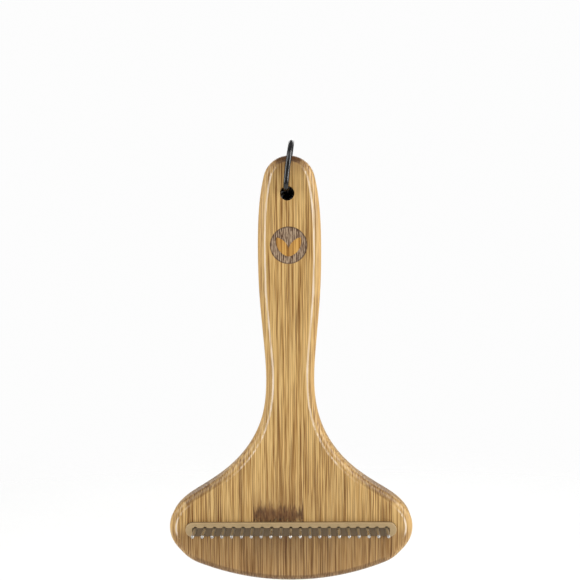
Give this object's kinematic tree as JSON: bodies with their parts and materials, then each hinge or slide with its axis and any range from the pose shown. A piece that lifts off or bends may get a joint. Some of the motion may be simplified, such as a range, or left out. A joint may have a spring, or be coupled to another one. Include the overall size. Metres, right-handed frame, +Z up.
{
  "type": "undercoat rake",
  "caption": "Flat laminated bamboo grooming rake: slim handle, wide fan-shaped head with a straight row of turning steel pins in a moulded bar, and a cord hang loop.",
  "frame": {"origin": "where the hang loop bears on its peg, in the board's middle plane", "axes": "+Z up along the handle as the rake hangs, -Y the way the pins point, +X across the head to the right of someone facing the pins"},
  "size_m": [0.0974, 0.034, 0.1768],
  "materials": {
    "bamboo": "oiled laminated bamboo with fine upright fibres, satin",
    "bar_plastic": "moulded khaki plastic, satin",
    "pin_steel": "polished stainless steel wire",
    "loop_cord": "glossy black elastic cord"
  },
  "bodies": {
    "board": {"strip_left_01": "bamboo", "strip_left_02": "bamboo", "strip_left_03": "bamboo", "strip_left_04": "bamboo", "strip_left_05": "bamboo", "strip_left_06": "bamboo", "strip_left_07": "bamboo", "strip_left_08": "bamboo", "strip_left_09": "bamboo", "strip_left_10": "bamboo", "strip_right_01": "bamboo", "strip_right_02": "bamboo", "strip_right_03": "bamboo", "strip_right_04": "bamboo", "strip_right_05": "bamboo", "strip_right_06": "bamboo", "strip_right_07": "bamboo", "strip_right_08": "bamboo", "strip_right_09": "bamboo", "strip_right_10": "bamboo", "handle_edge_left": "bamboo", "handle_edge_right": "bamboo", "pin_bar": "bar_plastic", "pin_backing": "bar_plastic", "hang_loop": "loop_cord", "hang_knot": "loop_cord"},
    "pin_01": {"pin_01": "pin_steel"},
    "pin_02": {"pin_02": "pin_steel"},
    "pin_03": {"pin_03": "pin_steel"},
    "pin_04": {"pin_04": "pin_steel"},
    "pin_05": {"pin_05": "pin_steel"},
    "pin_06": {"pin_06": "pin_steel"},
    "pin_07": {"pin_07": "pin_steel"},
    "pin_08": {"pin_08": "pin_steel"},
    "pin_09": {"pin_09": "pin_steel"},
    "pin_10": {"pin_10": "pin_steel"},
    "pin_11": {"pin_11": "pin_steel"},
    "pin_12": {"pin_12": "pin_steel"},
    "pin_13": {"pin_13": "pin_steel"},
    "pin_14": {"pin_14": "pin_steel"},
    "pin_15": {"pin_15": "pin_steel"},
    "pin_16": {"pin_16": "pin_steel"},
    "pin_17": {"pin_17": "pin_steel"},
    "pin_18": {"pin_18": "pin_steel"},
    "pin_19": {"pin_19": "pin_steel"},
    "pin_20": {"pin_20": "pin_steel"},
    "pin_21": {"pin_21": "pin_steel"}
  },
  "joints": [
    {"name": "pin_01_turn", "type": "hinge", "parent": "board", "child": "pin_01", "pos_m": [-0.038, -0.007, -0.15295], "axis": [0, -1, 0], "continuous": true},
    {"name": "pin_02_turn", "type": "hinge", "parent": "board", "child": "pin_02", "pos_m": [-0.0342, -0.007, -0.15295], "axis": [0, -1, 0], "continuous": true},
    {"name": "pin_03_turn", "type": "hinge", "parent": "board", "child": "pin_03", "pos_m": [-0.0304, -0.007, -0.15295], "axis": [0, -1, 0], "continuous": true},
    {"name": "pin_04_turn", "type": "hinge", "parent": "board", "child": "pin_04", "pos_m": [-0.0266, -0.007, -0.15295], "axis": [0, -1, 0], "continuous": true},
    {"name": "pin_05_turn", "type": "hinge", "parent": "board", "child": "pin_05", "pos_m": [-0.0228, -0.007, -0.15295], "axis": [0, -1, 0], "continuous": true},
    {"name": "pin_06_turn", "type": "hinge", "parent": "board", "child": "pin_06", "pos_m": [-0.019, -0.007, -0.15295], "axis": [0, -1, 0], "continuous": true},
    {"name": "pin_07_turn", "type": "hinge", "parent": "board", "child": "pin_07", "pos_m": [-0.0152, -0.007, -0.15295], "axis": [0, -1, 0], "continuous": true},
    {"name": "pin_08_turn", "type": "hinge", "parent": "board", "child": "pin_08", "pos_m": [-0.0114, -0.007, -0.15295], "axis": [0, -1, 0], "continuous": true},
    {"name": "pin_09_turn", "type": "hinge", "parent": "board", "child": "pin_09", "pos_m": [-0.0076, -0.007, -0.15295], "axis": [0, -1, 0], "continuous": true},
    {"name": "pin_10_turn", "type": "hinge", "parent": "board", "child": "pin_10", "pos_m": [-0.0038, -0.007, -0.15295], "axis": [0, -1, 0], "continuous": true},
    {"name": "pin_11_turn", "type": "hinge", "parent": "board", "child": "pin_11", "pos_m": [0, -0.007, -0.15295], "axis": [0, -1, 0], "continuous": true},
    {"name": "pin_12_turn", "type": "hinge", "parent": "board", "child": "pin_12", "pos_m": [0.0038, -0.007, -0.15295], "axis": [0, -1, 0], "continuous": true},
    {"name": "pin_13_turn", "type": "hinge", "parent": "board", "child": "pin_13", "pos_m": [0.0076, -0.007, -0.15295], "axis": [0, -1, 0], "continuous": true},
    {"name": "pin_14_turn", "type": "hinge", "parent": "board", "child": "pin_14", "pos_m": [0.0114, -0.007, -0.15295], "axis": [0, -1, 0], "continuous": true},
    {"name": "pin_15_turn", "type": "hinge", "parent": "board", "child": "pin_15", "pos_m": [0.0152, -0.007, -0.15295], "axis": [0, -1, 0], "continuous": true},
    {"name": "pin_16_turn", "type": "hinge", "parent": "board", "child": "pin_16", "pos_m": [0.019, -0.007, -0.15295], "axis": [0, -1, 0], "continuous": true},
    {"name": "pin_17_turn", "type": "hinge", "parent": "board", "child": "pin_17", "pos_m": [0.0228, -0.007, -0.15295], "axis": [0, -1, 0], "continuous": true},
    {"name": "pin_18_turn", "type": "hinge", "parent": "board", "child": "pin_18", "pos_m": [0.0266, -0.007, -0.15295], "axis": [0, -1, 0], "continuous": true},
    {"name": "pin_19_turn", "type": "hinge", "parent": "board", "child": "pin_19", "pos_m": [0.0304, -0.007, -0.15295], "axis": [0, -1, 0], "continuous": true},
    {"name": "pin_20_turn", "type": "hinge", "parent": "board", "child": "pin_20", "pos_m": [0.0342, -0.007, -0.15295], "axis": [0, -1, 0], "continuous": true},
    {"name": "pin_21_turn", "type": "hinge", "parent": "board", "child": "pin_21", "pos_m": [0.038, -0.007, -0.15295], "axis": [0, -1, 0], "continuous": true}
  ]
}
